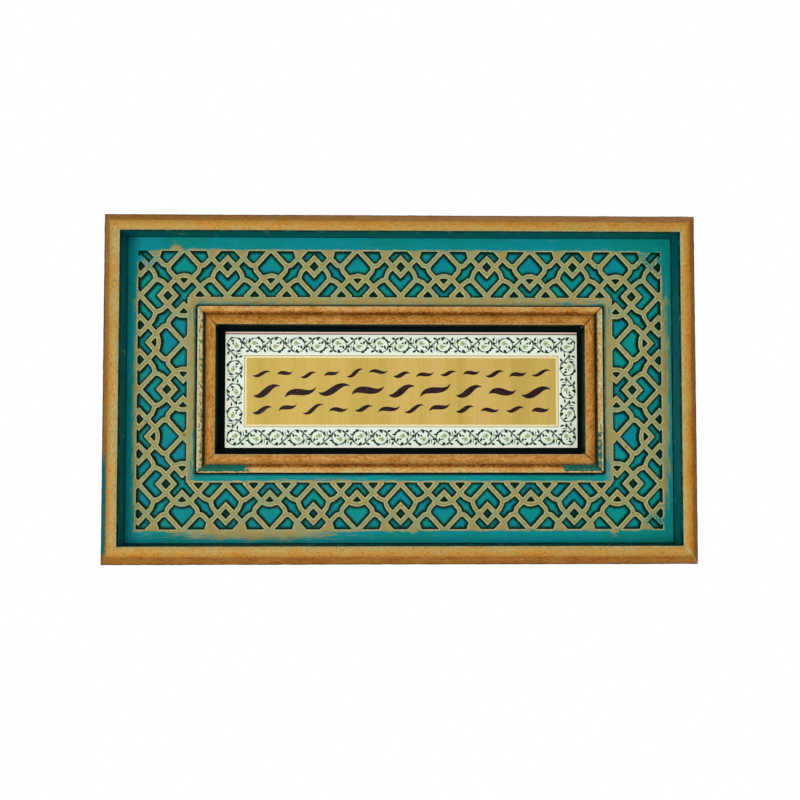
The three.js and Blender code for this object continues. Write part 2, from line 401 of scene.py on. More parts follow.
def bone_hole():
    shoulder_radius = SHOULDER_ARC + HALF_STRAP
    arrow_radius = LARGE_ARC + HALF_STRAP
    shoulder_notch = line_meets_circle(-1, 0.5, shoulder_centre, shoulder_radius, 1)
    arrow_notch = line_meets_circle(-1, 0.5, arrow_centre, arrow_radius, -1)
    shoulder_start = cmath.phase(shoulder_notch - shoulder_centre)
    arrow_end = cmath.phase(arrow_notch - arrow_centre)
    shoulder = arc(shoulder_centre, shoulder_radius, shoulder_start, -math.pi / 4)
    side = arc(arrow_centre, arrow_radius, 0.75 * math.pi, arrow_end)
    waist = [complex(STEP + diagonal, 2 * STEP), complex(2 * STEP, STEP + diagonal)]
    return close_by_mirror(shoulder + waist + side, mirror_diagonal)


def repeat_outlines():
    """All the holes that belong to one repeat"""
    upright = [cross_hole()]
    for hole in (triangle_hole(), heart_hole()):
        upright += [hole, mirrored(hole, mirror_y)]
    for hole in (diamond_hole(), arrow_hole()):
        upright += [hole, mirrored(hole, mirror_x)]
    bones = [bone_hole(), mirrored(bone_hole(), mirror_x)]
    bones += [mirrored(hole, mirror_y) for hole in bones]
    return upright + [mirrored(hole, mirror_diagonal) for hole in upright] + bones


def placed_outlines():
    """The holes of every repeat that reach into the pierced ring"""
    placed = []
    for column in COLUMNS:
        for row in ROWS:
            for outline in repeat_outlines():
                points = (as_points(outline) + (column, row)) * (REPEAT_WIDTH, REPEAT_HEIGHT)
                if within(points, PIERCED_OUTER).any() and not within(points, PIERCED_INNER).all():
                    placed.append(points)
    return placed


def borders(triangles):
    """The closed chains of edges that only one of the triangles has"""
    edges = {(t[i], t[(i + 1) % 3]) for t in triangles for i in range(3)}
    follow = {}
    for a, b in edges:
        if (b, a) not in edges:
            follow.setdefault(a, []).append(b)
    chains = []
    while follow:
        start = min(follow)
        chain = [start]
        while True:
            onward = follow[chain[-1]]
            step = onward.pop()
            if not onward:
                del follow[chain[-1]]
            if step == start:
                break
            chain.append(step)
        chains.append(chain)
    return chains


class Hole:
    """A cut hole: its fine outline, the same with fewer points, the rim in front and the foot at the back"""

    def __init__(self, fine, kept, normals):
        self.fine = fine
        self.edge = fine[kept]
        self.rim = (fine + normals * EDGE_ROUND)[kept]
        self.foot = (fine - normals * WALL_TAPER)[kept]


def cut_loops():
    """The holes as the ring's straight edges cut them, with small round corners"""
    ring = [rectangle(*PIERCED_OUTER), rectangle(*PIERCED_INNER)]
    points, triangles, owners = fill_plane(ring + placed_outlines())
    pierced = [t for t, held in zip(triangles, owners) if 0 in held and 1 not in held and len(held) > 1]
    loops = []
    for chain in borders(pierced):
        outline = counterclockwise(points[chain])
        if area(outline) < SMALLEST_HOLE:
            continue
        fine = soften(evenly(begun_on_longest_side(outline), FINE), FINE, HOLE_CORNER)
        kept = thin_out(fine, HOLE_TURN, HOLE_RUN)
        normals = soften(outward(fine), FINE, 2 * HOLE_CORNER)
        loops.append(Hole(fine, kept, normals))
    return loops


holes = cut_loops()
fine_edges = np.vstack([hole.fine for hole in holes])
edge_tree = kdtree.KDTree(len(fine_edges))
for i, (x, z) in enumerate(fine_edges):
    edge_tree.insert((x, 0, z), i)
edge_tree.balance()


def from_edge(points):
    """How far each point of the plane is from the nearest cut edge"""
    return np.array([edge_tree.find((x, 0, z))[2] for x, z in points])


def grid(width, height, spacing, seed):
    """Points over a rectangle, each moved a little by chance"""
    chance = np.random.default_rng(seed)
    columns = np.arange(-width / 2 + spacing / 2, width / 2, spacing)
    rows = np.arange(-height / 2 + spacing / 2, height / 2, spacing)
    points = np.array([(x, z) for x in columns for z in rows])
    return points + chance.uniform(-GRID_JITTER, GRID_JITTER, points.shape) * spacing


ring_points = grid(*PIERCED_OUTER, STRAP_GRID, 1)
ring_points = ring_points[~within(ring_points, PIERCED_INNER)]
in_hole = np.zeros(len(ring_points), bool)
for hole in holes:
    in_hole |= inside(hole.fine, ring_points)
ring_distance = from_edge(ring_points)
strap_points = ring_points[~in_hole & (ring_distance > SHEET_CLEAR)]
floor_points = ring_points[in_hole & (ring_distance > FLOOR_CLEAR)]

sheet_size = (sheet_high.x - sheet_low.x, sheet_high.z - sheet_low.z)
inner_opening = (inner_rail_high.x - inner_rail_low.x - 2 * INNER_RAIL, 2 * inner_rail_low.z)
window_size = tuple(side + 2 * (INNER_RAIL + WINDOW_GAP) for side in inner_opening)
margin_points = grid(*sheet_size, MARGIN_GRID, 2)
in_ring = within(margin_points, PIERCED_OUTER) & ~within(margin_points, PIERCED_INNER)
clear_of_window = ~within(margin_points, [side + 2 * WINDOW_CLEAR for side in window_size])
margin_points = margin_points[~in_ring & clear_of_window]
margin_points = margin_points[from_edge(margin_points) > SHEET_CLEAR]


# Colours

def srgb(red, green, blue):
    """A colour as the eye reads it, 0 to 255, becomes the linear one that a shader wants"""
    shares = (red / 255, green / 255, blue / 255)
    linear = [c / 12.92 if c <= 0.04045 else ((c + 0.055) / 1.055) ** 2.4 for c in shares]
    return (*linear, 1.0)


class Paint:
    """One material, with short calls for the nodes behind its colour and bump"""

    def __init__(self, name, roughness, metallic=0.0, gloss=0.05):
        self.material = bpy.data.materials.new(name)
        self.material.use_nodes = True
        self.tree = self.material.node_tree
        self.surface = self.tree.nodes["Principled BSDF"]
        self.surface.inputs["Roughness"].default_value = roughness
        self.surface.inputs["Metallic"].default_value = metallic
        self.surface.inputs["Specular IOR Level"].default_value = gloss

    def feed(self, socket, value):
        if isinstance(value, bpy.types.NodeSocket):
            self.tree.links.new(value, socket)
        else:
            socket.default_value = value

    def node(self, kind, inputs, **settings):
        made = self.tree.nodes.new(kind)
        for name, value in settings.items():
            setattr(made, name, value)
        for socket, value in inputs.items():
            self.feed(made.inputs[socket], value)
        return made

    def attribute(self, name, output="Fac"):
        return self.node("ShaderNodeAttribute", {}, attribute_name=name).outputs[output]

    def place(self):
        return self.node("ShaderNodeTexCoord", {}).outputs["Object"]

    def stretch(self, vector, factors):
        return self.node("ShaderNodeVectorMath", {0: vector, 1: factors}, operation="MULTIPLY").outputs[0]

    def noise(self, vector, size, detail=3.0, rough=0.55):
        """Noise with patches of about that size, in millimetres"""
        inputs = {"Vector": vector, "Scale": 1 / (size * MM), "Detail": detail, "Roughness": rough}
        return self.node("ShaderNodeTexNoise", inputs).outputs["Fac"]

    def math(self, operation, a, b=0.0):
        return self.node("ShaderNodeMath", {0: a, 1: b}, operation=operation).outputs[0]

    def spread(self, value, low, high, to_low=0.0, to_high=1.0):
        """Maps a range onto another and stays in it"""
        inputs = {"Value": value, "From Min": low, "From Max": high, "To Min": to_low, "To Max": to_high}
        return self.node("ShaderNodeMapRange", inputs, interpolation_type="SMOOTHSTEP").outputs["Result"]

    def vary(self, value, *noises):
        """The value moved up and down by noises, each given with how far"""
        for noise_output, reach in noises:
            value = self.math("ADD", value, self.spread(noise_output, 0.3, 0.7, -reach, reach))
        return value

    def mix(self, factor, a, b):
        return self.node("ShaderNodeMix", {0: factor, 6: a, 7: b}, data_type="RGBA").outputs[2]

    def ramp(self, value, stops):
        made = self.node("ShaderNodeValToRGB", {"Fac": value})
        elements = made.color_ramp.elements
        while len(elements) < len(stops):
            elements.new(0.5)
        for element, (position, colour) in zip(elements, stops):
            element.position = position
            element.color = colour
        return made.outputs["Color"]

    def finish(self, colour, height=None, relief=0.0, strength=1.0):
        """Sets the colour, and a bump where the height is given, with its relief in millimetres"""
        self.feed(self.surface.inputs["Base Color"], colour)
        if height is not None:
            inputs = {"Height": height, "Distance": relief * MM, "Strength": strength}
            self.feed(self.surface.inputs["Normal"], self.node("ShaderNodeBump", inputs).outputs["Normal"])
        return self.material


TEAL = srgb(3, 144, 149)
TEAL_DEEP = srgb(0, 120, 128)
TEAL_GREEN = srgb(6, 138, 128)
DARK_GREEN = srgb(3, 30, 24)
# Dark green of grime, and of painted shade in the rails' recesses and joints
GRIME_AND_SHADE = srgb(18, 34, 14)
CHIP = srgb(128, 58, 12)


def teal_colour(paint, place):
    """Brushed teal paint, in broad cooler and greener areas"""
    broad = paint.noise(place, 45, 2)
    brushed = paint.noise(paint.stretch(place, (1, 1, 6)), 12, 4)
    base = paint.mix(paint.spread(broad, 0.35, 0.6), TEAL_GREEN, TEAL)
    return paint.mix(paint.spread(brushed, 0.4, 0.75, 0.0, 0.4), base, TEAL_DEEP)


def rubbed_gold(name, tones, cool, green):
    """Gold wax over teal of two hues. Attributes say where gold lies, how light it is, and where grime and
    painted shade darken it
    """
    paint = Paint(name, 0.5, 0.1)
    place = paint.attribute("grain", "Vector")
    streaks = paint.noise(paint.stretch(place, (0.5, 1, 1)), 1.5, 4, 0.62)
    specks = paint.noise(place, 1.2, 3, 0.6)
    flecks = paint.noise(paint.stretch(place, (0.8, 1, 1)), 0.9, 2, 0.5)
    clouds = paint.noise(paint.stretch(place, (0.6, 1, 1)), 9, 3)
    gold = paint.ramp(paint.vary(paint.attribute("tone"), (streaks, 0.14), (clouds, 0.08)), tones)
    gold = paint.mix(paint.spread(flecks, 0.6, 0.72, 0.0, 0.4), gold, srgb(224, 184, 128))
    gold = paint.mix(paint.spread(specks, 0.56, 0.7, 0.0, 0.7), gold, srgb(96, 64, 22))
    ragged = paint.vary(paint.attribute("cover"), (streaks, 0.26), (specks, 0.12))
    teal = paint.mix(paint.spread(clouds, 0.35, 0.65), cool, green)
    colour = paint.mix(paint.spread(ragged, 0.34, 0.66), teal, gold)
    # Darkens with real grime and with painted shade in recesses and joints
    grime_and_shade_share = paint.vary(paint.attribute("grime_and_shade"), (specks, 0.15))
    colour = paint.mix(paint.spread(grime_and_shade_share, 0.1, 0.95), colour, GRIME_AND_SHADE)
    height = paint.math("ADD", streaks, paint.math("MULTIPLY", specks, 0.8))
    return paint.finish(colour, height, 0.35, 0.7)


OUTER_TONES = [
    (0.0, srgb(62, 40, 14)),
    (0.2, srgb(152, 92, 24)),
    (0.36, srgb(190, 118, 26)),
    (0.55, srgb(198, 142, 58)),
    (0.75, srgb(184, 156, 88)),
    (1.0, srgb(190, 184, 134)),
]
INNER_TONES = [
    (0.0, srgb(52, 36, 10)),
    (0.25, srgb(122, 66, 8)),
    (0.5, srgb(186, 122, 44)),
    (0.75, srgb(208, 164, 96)),
    (1.0, srgb(200, 198, 154)),
]


def lattice_paint():
    """Teal paint with pale gold brushed over the straps"""
    paint = Paint("lattice_paint", 0.55)
    place = paint.place()
    teal = teal_colour(paint, place)
    fine = paint.noise(place, 1.3, 4, 0.6)
    patches = paint.noise(place, 13, 3)
    reach = paint.vary(paint.attribute("from_edge"), (fine, 0.4))
    strap = paint.ramp(paint.math("DIVIDE", reach, 3.2), [
        (0.0, srgb(116, 128, 90)),
        (0.1, srgb(194, 196, 150)),
        (0.2, srgb(200, 190, 138)),
        (0.36, srgb(152, 154, 98)),
        (0.56, srgb(152, 142, 86)),
        (0.78, srgb(190, 154, 88)),
        (1.0, srgb(162, 148, 88)),
    ])
    strap = paint.mix(paint.spread(patches, 0.46, 0.66, 0.0, 0.55), strap, srgb(142, 164, 124))
    strap = paint.mix(paint.spread(fine, 0.58, 0.7, 0.0, 0.5), strap, srgb(104, 92, 50))
    strokes = paint.noise(paint.stretch(paint.attribute("grain", "Vector"), (0.1, 1, 1)), 1.5, 3)
    ragged = paint.vary(paint.attribute("cover"), (strokes, 0.3), (fine, 0.08))
    colour = paint.mix(paint.spread(ragged, 0.2, 0.8), teal, strap)
    colour = paint.mix(paint.attribute("chip"), colour, CHIP)
    # A dark line of painted shade round the inner frame
    colour = paint.mix(paint.attribute("grime_and_shade"), colour, DARK_GREEN)
    return paint.finish(colour, fine, 0.25, 0.5)


def cut_wall_paint():
    paint = Paint("cut_wall_paint", 0.6)
    speckle = paint.noise(paint.place(), 1.5)
    return paint.finish(paint.ramp(speckle, [(0.3, DARK_GREEN), (0.75, srgb(6, 62, 56))]))


def ground_paint():
    """Bright teal that darkens to near black round the cut edges, as painted shade under the holes' walls"""
    paint = Paint("ground_paint", 0.5)
    place = paint.place()
    fine = paint.noise(place, 2.2, 4, 0.6)
    broad = paint.noise(place, 24, 2)
    reach = paint.vary(paint.attribute("from_edge"), (fine, 0.35))
    bright = paint.mix(paint.spread(broad, 0.38, 0.62), srgb(0, 134, 150), srgb(0, 146, 138))
    # Painted shade round the cut edges, darkest at the edge and gone a few millimetres out
    deep = paint.mix(paint.spread(reach, 0.7, 2.2), srgb(0, 38, 22), srgb(0, 84, 76))
    colour = paint.mix(paint.spread(reach, 1.4, 3.3), deep, bright)
    return paint.finish(colour, fine, 0.2, 0.4)


def bare_wood():
    paint = Paint("bare_wood", 0.75)
    place = paint.attribute("grain", "Vector")
    grain = paint.noise(paint.stretch(place, (0.06, 1, 1)), 1.6, 5, 0.6)
    colour = paint.ramp(grain, [
        (0.3, srgb(150, 112, 70)),
        (0.5, srgb(190, 150, 100)),
        (0.72, srgb(206, 172, 122)),
    ])
    return paint.finish(colour, grain, 0.2, 0.5)


def hardboard():
    """Bare brown hardboard, near black on its front as painted shade in the deep recess round the plaque"""
    paint = Paint("hardboard", 0.8)
    place = paint.place()
    fibres = paint.noise(place, 1.2, 5, 0.7)
    broad = paint.noise(place, 60, 3)
    board = paint.ramp(fibres, [
        (0.3, srgb(112, 78, 46)),
        (0.5, srgb(140, 100, 62)),
        (0.7, srgb(160, 122, 80)),
    ])
    board = paint.mix(paint.spread(broad, 0.4, 0.7, 0.0, 0.35), board, srgb(104, 72, 44))
    depth = paint.node("ShaderNodeSeparateXYZ", {0: place}).outputs["Y"]
    # Painted shade: near black over the front, which shows only in the recess
    front = paint.spread(depth, -2.4 * MM, -1.6 * MM, 1.0, 0.0)
    colour = paint.mix(front, board, srgb(4, 18, 18))
    return paint.finish(colour, fibres, 0.2, 0.5)


# Rails

def outer_section():
    """Outwards from the inner face and forwards from the back, in order up the inner wall"""
    edge = PANEL_DEPTH - OUTER_FRONT_RISE
    front_start = 1j * edge
    front_end = OUTER_FRONT_WIDTH + 1j * edge
    front = bowed(front_start, front_end, OUTER_FRONT_RISE)
    side = [OUTER_RAIL + 1j * OUTER_SIDE_DEPTH, OUTER_RAIL + 0j]
    return as_points([0j, front_start] + front + side)


def inner_section():
    back = -inner_rail_high.y
    groove_outer = INNER_RAIL - INNER_STEP_WIDTH
    band_start = 1j * (SHEET_FRONT + INNER_EDGE_PROUD)
    band_end = groove_outer - INNER_GROOVE_WIDTH + 1j * (SHEET_FRONT + INNER_BAND_FOOT_PROUD)
    step_start = groove_outer + 1j * (SHEET_FRONT + INNER_STEP_PROUD)
    step_end = INNER_RAIL + 1j * (SHEET_FRONT + INNER_STEP_PROUD)
    band = bowed(band_start, band_end, INNER_BAND_RISE)
    groove = bowed(band_end, step_start, INNER_GROOVE_DIP)
    return as_points([1j * back, band_start] + band + groove + [step_end, INNER_RAIL + 1j * back])


def ease(value, low, high):
    """Climbs smoothly from 0 to 1 between two limits in millimetres"""
    share = np.clip((value - low * MM) / ((high - low) * MM), 0, 1)
    return share * share * (3 - 2 * share)


def stations(half_length):
    """Places along a rail from -1 to 1, closer together near the mitres"""
    count = round(2 * half_length / STATION_STEP)
    middle = np.linspace(-1, 1, count + 1)
    ends = 1 - np.array(MITRE_STATIONS) / half_length
    return np.unique(np.concatenate([middle, ends, -ends]))


def rail(name, index, section, half_length, distance, turn, look, end_gaps):
    """One mitred rail above the centre, then turned about Y to its side"""
    fine = soften(evenly(section, FINE), FINE, look.round_over)
    outline = fine[thin_out(fine, RAIL_TURN, RAIL_RUN)]
    normals = -outward(outline)
    bends = np.linalg.norm(np.roll(normals, 1, axis=0) - np.roll(normals, -1, axis=0), axis=1)
    places = stations(half_length)
    points = []
    for share in places:
        gap = end_gaps[0] if share < 0 else end_gaps[1]
        to_end = (1 - abs(share)) * half_length
        worn = look.end_wear * max(0, 1 - to_end / look.end_reach) ** 2
        for (across, forwards), (out, up), bend in zip(outline, normals, bends):
            spot = Vector((share * (half_length + across), across + index, forwards))
            wave = 0.5 + 0.5 * noise.noise(spot / WAVE_SIZE)
            ripple = 0.5 + 0.5 * noise.noise(spot / RIPPLE_SIZE)
            chip = min(bend, 1) * max(0, noise.noise(spot / CHIP_SIZE) - 0.15)
            sink = look.wave * wave + look.ripple * ripple + look.chip * chip + worn
            sink *= ease(forwards, 1, 8)
            x = share * (half_length + across - out * sink - gap)
            points.append((x, up * sink - forwards, distance + across - out * sink))
    count = len(outline)
    rings = [range(i * count, (i + 1) * count) for i in range(len(places))]
    faces = []
    for ring, following in zip(rings, rings[1:]):
        faces += [[ring[j - 1], ring[j], following[j], following[j - 1]] for j in range(count)]
    slots = [int(all(-points[i][1] < 1 * MM for i in face)) for face in faces]
    faces += [list(rings[0]), list(rings[-1])]
    slots += [1, 1]
    cosine, sine = round(math.cos(turn)), round(math.sin(turn))
    side = name.split("_")[2]

    def values(coordinates):
        """The look at each point, from its place along, across and forwards on the rail"""
        x, y, z = coordinates.T
        place = (x * cosine - z * sine, z * cosine + x * sine - distance, -y)
        return {
            "grain": np.column_stack([place[0], place[1] + index * 0.1, place[2]]),
            "cover": look.cover(side, *place),
            "tone": look.tone(side, *place),
            "grime_and_shade": look.grime_and_shade(side, *place),
        }

    shell = Shell()
    shell.add([(x * cosine + z * sine, y, z * cosine - x * sine) for x, y, z in points], faces, slots)
    return shell.piece(name, [look.material, raw_wood], sharp=50, values=values)


class OuterLook:
    """The outer rails: gold front and slope, teal inner wall, worn sides"""
    round_over = 0.55 * MM
    wave = 0.28 * MM
    ripple = 0.12 * MM
    chip = 0.9 * MM
    end_wear = 0.1 * MM
    end_reach = 0.9 * MM
    # Lightness of the gold on each side, at the front's inner and outer edge and at the slope's
    tones = {
        "top": (0.64, 0.56, 0.48, 0.4),
        "bottom": (0.74, 0.56, 0.36, 0.4),
        "right": (0.72, 0.44, 0.42, 0.3),
        "left": (0.8, 0.64, 0.5, 0.36),
    }

    def __init__(self):
        self.material = rubbed_gold("outer_gold", OUTER_TONES, srgb(0, 112, 132), srgb(6, 126, 116))

    def cover(self, side, along, across, forwards):
        """How much gold lies there. The lower part of the left slope is bare teal"""
        wall = 1.3 * ease(across, 0.1, 0.5) - 0.3
        cover = np.maximum(wall, 1.05 * ease(forwards, 47.6, 48.8) - 0.3)
        flank = across > OUTER_RAIL - 0.6 * MM
        cover = np.where(flank, 0.15 + 0.6 * ease(forwards, 14, 33), cover)
        if side == "left":
            bared = 0.9 * ease(-along, 35, 75)
            bared *= 1 - ease(-along, 134, 142)
            cover = np.where(across > OUTER_FRONT_WIDTH + 1.2 * MM, cover * (1 - bared), cover)
        return cover

    def tone(self, side, along, across, forwards):
        inner, outer, upper, lower = self.tones[side]
        front = inner + (outer - inner) * ease(across, 0, OUTER_FRONT_WIDTH / MM)
        front += 0.2 * (1 - ease(across, 0.5, 1.5))
        slope = upper + (lower - upper) * ease(across, OUTER_FRONT_WIDTH / MM, OUTER_RAIL / MM - 1)
        slope -= 0.3 * ease(across - OUTER_RAIL, -2, -0.8)
        edge = ease(across - OUTER_FRONT_WIDTH, -0.3, 0.5)
        seam = 0.35 * self.seam(side, along, across)
        return front * (1 - edge) + slope * edge + seam

    def seam(self, side, along, across):
        """The raised glue line of the lower right mitre"""
        if side not in ("bottom", "right"):
            return 0.0 * along
        end = -along if side == "bottom" else along
        corner = cad_box[1].x if side == "bottom" else cad_box[1].z
        from_mitre = corner - OUTER_RAIL + across - end
        return (1 - ease(np.abs(from_mitre), 0.5, 1.4)) * ease(across, 1, 3)

    def grime_and_shade(self, side, along, across, forwards):
        """Dark green under the inner edge, painted shade on the bottom wall and the right wall's foot, a
        darker left rail
        """
        wall = 1 - ease(across, 0.1, 0.4)
        depth = PANEL_DEPTH - forwards
        grime_and_shade = wall * np.where(depth < 1.6 * MM, 0.1, 1 - 0.85 * ease(depth, 4, 12))
        # The right wall's foot by the sheet gets painted contact shade
        if side == "right":
            grime_and_shade = np.maximum(grime_and_shade, wall * (1 - ease(forwards, 20, 23)))
        # The whole bottom wall gets painted shade
        if side == "bottom":
            grime_and_shade = np.maximum(grime_and_shade, 0.9 * wall * ease(depth, 1.2, 2))
        if side == "left":
            grime_and_shade += 0.12 + 0.25 * ease(across, OUTER_FRONT_WIDTH / MM, OUTER_RAIL / MM)
        return grime_and_shade


class InnerLook:
    """The inner rails: pale step, dark groove, orange gold band, and a wall dark with painted shade"""
    round_over = 0.4 * MM
    wave = 0.18 * MM
    ripple = 0.12 * MM
    chip = 0.7 * MM
    end_wear = 0.5 * MM
    end_reach = 1.1 * MM
    # Lightness of the gold on the step, and grime in the groove
    steps = {"top": (0.66, 0), "bottom": (0.72, 0.4), "right": (0.84, 0.85), "left": (0.88, 0.9)}

    def __init__(self):
        self.material = rubbed_gold("inner_gold", INNER_TONES, srgb(4, 108, 96), srgb(40, 96, 66))

    def near_groove(self, across):
        middle = INNER_RAIL - INNER_STEP_WIDTH - INNER_GROOVE_WIDTH / 2
        return 1 - ease(np.abs(across - middle), 0.7, 2.2)

    def cover(self, side, along, across, forwards):
        """How much gold lies there. Teal shows at the ends of the lower groove and step"""
        cover = np.maximum(ease(across, 0.1, 0.5), ease(forwards, 23.6, 25))
        outside = across > INNER_RAIL - 0.3 * MM
        cover = np.where(outside, ease(forwards, 20, 23), cover)
        beyond_band = ease(across, 8.4, 9.4)
        beyond_band *= 1 - ease(across, 14.6, 15.4)
        if side == "bottom":
            left_end = ease(along, 118, 138)
            right_end = ease(-along, 130, 145)
            cover = cover * (1 - beyond_band * (0.9 * left_end + 0.8 * right_end))
        if side == "left":
            cover = cover * (1 - 0.4 * beyond_band)
        if side == "right":
            cover = cover * (1 - beyond_band * (0.3 + 0.35 * ease(along, 20, 50)))
        return cover

    def tone(self, side, along, across, forwards):
        step, _ = self.steps[side]
        band = 0.57 if side == "bottom" else 0.5
        tone = band + (step - band) * ease(across, 9, 11.5)
        tone = tone + 0.25 * (1 - ease(across, 0.6, 1.6))
        tone = tone + 0.1 * ease(across, 14.8, 15.6)
        return tone - 0.3 * self.near_groove(across)

    def grime_and_shade(self, side, along, across, forwards):
        wall = 1 - ease(across, 0.1, 0.4)
        rise = SHEET_FRONT + INNER_EDGE_PROUD - forwards
        # Painted shade down the wall of the deep recess round the plaque
        grime_and_shade = wall * ease(rise, 0.2, 1.4)
        # Painted shade on the outer face where it stands in the window's gap
        outside = ease(across - INNER_RAIL, -0.4, -0.1)
        grime_and_shade = np.maximum(grime_and_shade, outside * (1 - ease(forwards, 20.5, 22.5)))
        return np.maximum(grime_and_shade, self.steps[side][1] * self.near_groove(across))


def stand_in(made, node):
    """The piece takes the place of a node's solid"""
    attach(made, "root")
    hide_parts(node)


def rail_ring(prefix, section, opening, look, gaps):
    half_width, half_height = opening[0] / 2, opening[1] / 2
    sides = [
        ("top", half_width, half_height, 0),
        ("bottom", half_width, half_height, math.pi),
        ("right", half_height, half_width, math.pi / 2),
        ("left", half_height, half_width, -math.pi / 2),
    ]
    for index, (side, half_length, distance, turn) in enumerate(sides):
        node = f"{prefix}_{side}"
        made = rail(node + "_fine", index, section, half_length, distance, turn, look, gaps[side])
        stand_in(made, node)


# Sheet and boards

# Blots on the sheet, each with its middle and its reach both ways in millimetres, and its strength
GOLD_SMEARS = [
    (-225, -20, 2.4, 96, 0.75),
    (226.5, -8, 5, 90, 0.85),
    (-122, -121.5, 72, 6.5, 0.95),
    (-192, 121, 5, 4, 0.8),
    (-176, 118.5, 28, 1.8, 0.5),
    (10.6, -120, 3, 3, 0.9),
    (181.8, -120.5, 3.5, 3.5, 0.9),
    (0, 76, 215, 5, 1.0),
    (-178.5, 6, 5, 92, 0.95),
    (178.5, 4, 5.2, 86, 0.95),
    (-60, -77.5, 60, 2, 0.35),
]
TEAL_PATCHES = [
    (-218, 112, 15, 12, 0.75),
    (-228, 124, 12, 12, 0.9),
    (216, 114, 22, 16, 0.8),
    (217, -112, 12, 9, 0.85),
]
CHIPS = [
    (-203.2, -23.4, 1.5, 1.3, 0.9),
    (-216, -27.6, 1.2, 1.2, 0.8),
    (-183.6, -38.7, 1.6, 1.3, 0.9),
    (193, -49, 1.4, 1.4, 0.8),
    (-124.5, 73.4, 4, 1.6, 0.6),
]


def blots(plane, spots):
    total = np.zeros(len(plane))
    for *lengths, strength in spots:
        x, z, reach_x, reach_z = [length * MM for length in lengths]
        away = ((plane[:, 0] - x) / reach_x) ** 2 + ((plane[:, 1] - z) / reach_z) ** 2
        total += strength * np.exp(-away ** 1.5)
    return total


def outside_of(plane, size):
    """How far points lie outside a rectangle, and below zero inside it"""
    return np.max(np.abs(plane) - np.array(size) / 2, axis=1)


def sheet_cover(plane):
    """How much gold lies on each point of the sheet, where 1 is enough to hide the teal"""
    beyond = np.maximum(outside_of(plane, PIERCED_OUTER), -outside_of(plane, PIERCED_INNER))
    cover = 1.2 - 1.2 * ease(beyond, 0.1, 1.2)
    cover = cover + blots(plane, GOLD_SMEARS) - blots(plane, TEAL_PATCHES)
    return np.clip(cover, -0.1, 1.2)


def sheet_grain(plane):
    """Places along and across the brush, which ran round the ring"""
    to_side, to_end = (np.abs(plane) - np.array(PIERCED_OUTER) / 2).T
    upright = (to_side > to_end)[:, None]
    return np.column_stack([np.where(upright, plane[:, ::-1], plane), 0 * to_side])


def sheet_values(coordinates):
    """The look at each point, with a dark line of painted shade round the inner frame"""
    plane = coordinates[:, [0, 2]]
    return {
        "cover": sheet_cover(plane),
        "from_edge": from_edge(plane) / MM,
        "grain": sheet_grain(plane),
        "chip": np.clip(blots(plane, CHIPS), 0, 1),
        "grime_and_shade": 1 - ease(outside_of(plane, window_size), 1, 2.2),
    }


def lattice_sheet():
    outlines = [rectangle(*sheet_size), rectangle(*window_size)]
    edge_forwards = SHEET_FRONT - EDGE_DROP
    shell = Shell()
    loose = np.vstack([strap_points, margin_points])
    shell.board(outlines + [hole.rim for hole in holes], SHEET_FRONT, loose)
    shell.board(outlines + [hole.foot for hole in holes], SHEET_BACK)
    shell.walls(outlines, SHEET_FRONT, SHEET_BACK)
    for hole in holes:
        shell.strip((hole.rim, SHEET_FRONT), (hole.edge, edge_forwards))
        shell.strip((hole.edge, edge_forwards), (hole.foot, SHEET_BACK), 1)
    materials = [lattice_paint(), cut_wall_paint()]
    made = shell.piece("lattice_sheet_fine", materials, sharp=62, values=sheet_values)
    stand_in(made, "lattice_sheet")


def ground_values(coordinates):
    """Distance from the cut edge in the holes, less in the small ones for more painted shade there, and none
    under the straps
    """
    plane = coordinates[:, [0, 2]]
    share = np.zeros(len(plane))
    for hole in holes:
        # Small holes get more painted shade
        share[inside(hole.fine, plane)] = 0.6 if area(hole.fine) < SHADED_HOLE_AREA else 1
    return {"from_edge": share * from_edge(plane) / MM}


def ground_board():
    """Its front keeps the holes' outlines as edges, and nothing is cut through it but the window"""
    size = (ground_high.x - ground_low.x, ground_high.z - ground_low.z)
    outlines = [rectangle(*size), rectangle(*window_size)]
    front, back = -ground_low.y, -ground_high.y
    shell = Shell()
    points, triangles, owners = fill_plane(outlines + [hole.edge for hole in holes], floor_points)
    shell.plane(points, [t for t, held in zip(triangles, owners) if 0 in held and 1 not in held], front)
    shell.board(outlines, back)
    shell.walls(outlines, front, back)
    made = shell.piece("ground_board_fine", [ground_paint()], sharp=40, values=ground_values)
    stand_in(made, "ground_board")


def backing_board():
    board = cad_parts["backing_board"]
    board.data.materials.clear()
    board.data.materials.append(hardboard())


# Plaque

PLAQUE_FRONT = -plaque_low.y
plaque_width = plaque_high.x - plaque_low.x
plaque_height = plaque_high.z - plaque_low.z
plaque_middle = complex((plaque_low.x + plaque_high.x) / 2, (plaque_low.z + plaque_high.z) / 2)
BORDER_SIDE = 16 * MM
BORDER_TOP = 20.1 * MM
BORDER_BOTTOM = 17.6 * MM
WHITE_EDGE = 1.2 * MM
VINE_STEP = 18.3 * MM
# Lines from the plaque's top edge down, and from the border inwards to the gold field
TOP_LINES = [("pink", 1.4 * MM), ("brown", 0.85 * MM)]
FIELD_LINES = [("olive", 0.65 * MM), ("cream", 1.7 * MM)]

PRINT_ROUGHNESS = 0.35
PRINT_COLOURS = {
    "white": srgb(250, 254, 236),
    "mint": srgb(240, 252, 234),
    "pink": srgb(236, 204, 184),
    "brown": srgb(84, 60, 34),
    "olive": srgb(170, 160, 110),
    "cream": srgb(250, 236, 180),
    "stem": srgb(92, 122, 100),
    "leaf": srgb(14, 52, 36),
    "flower": srgb(188, 200, 150),
    "heart": srgb(140, 152, 100),
    "ink": srgb(42, 12, 16),
}


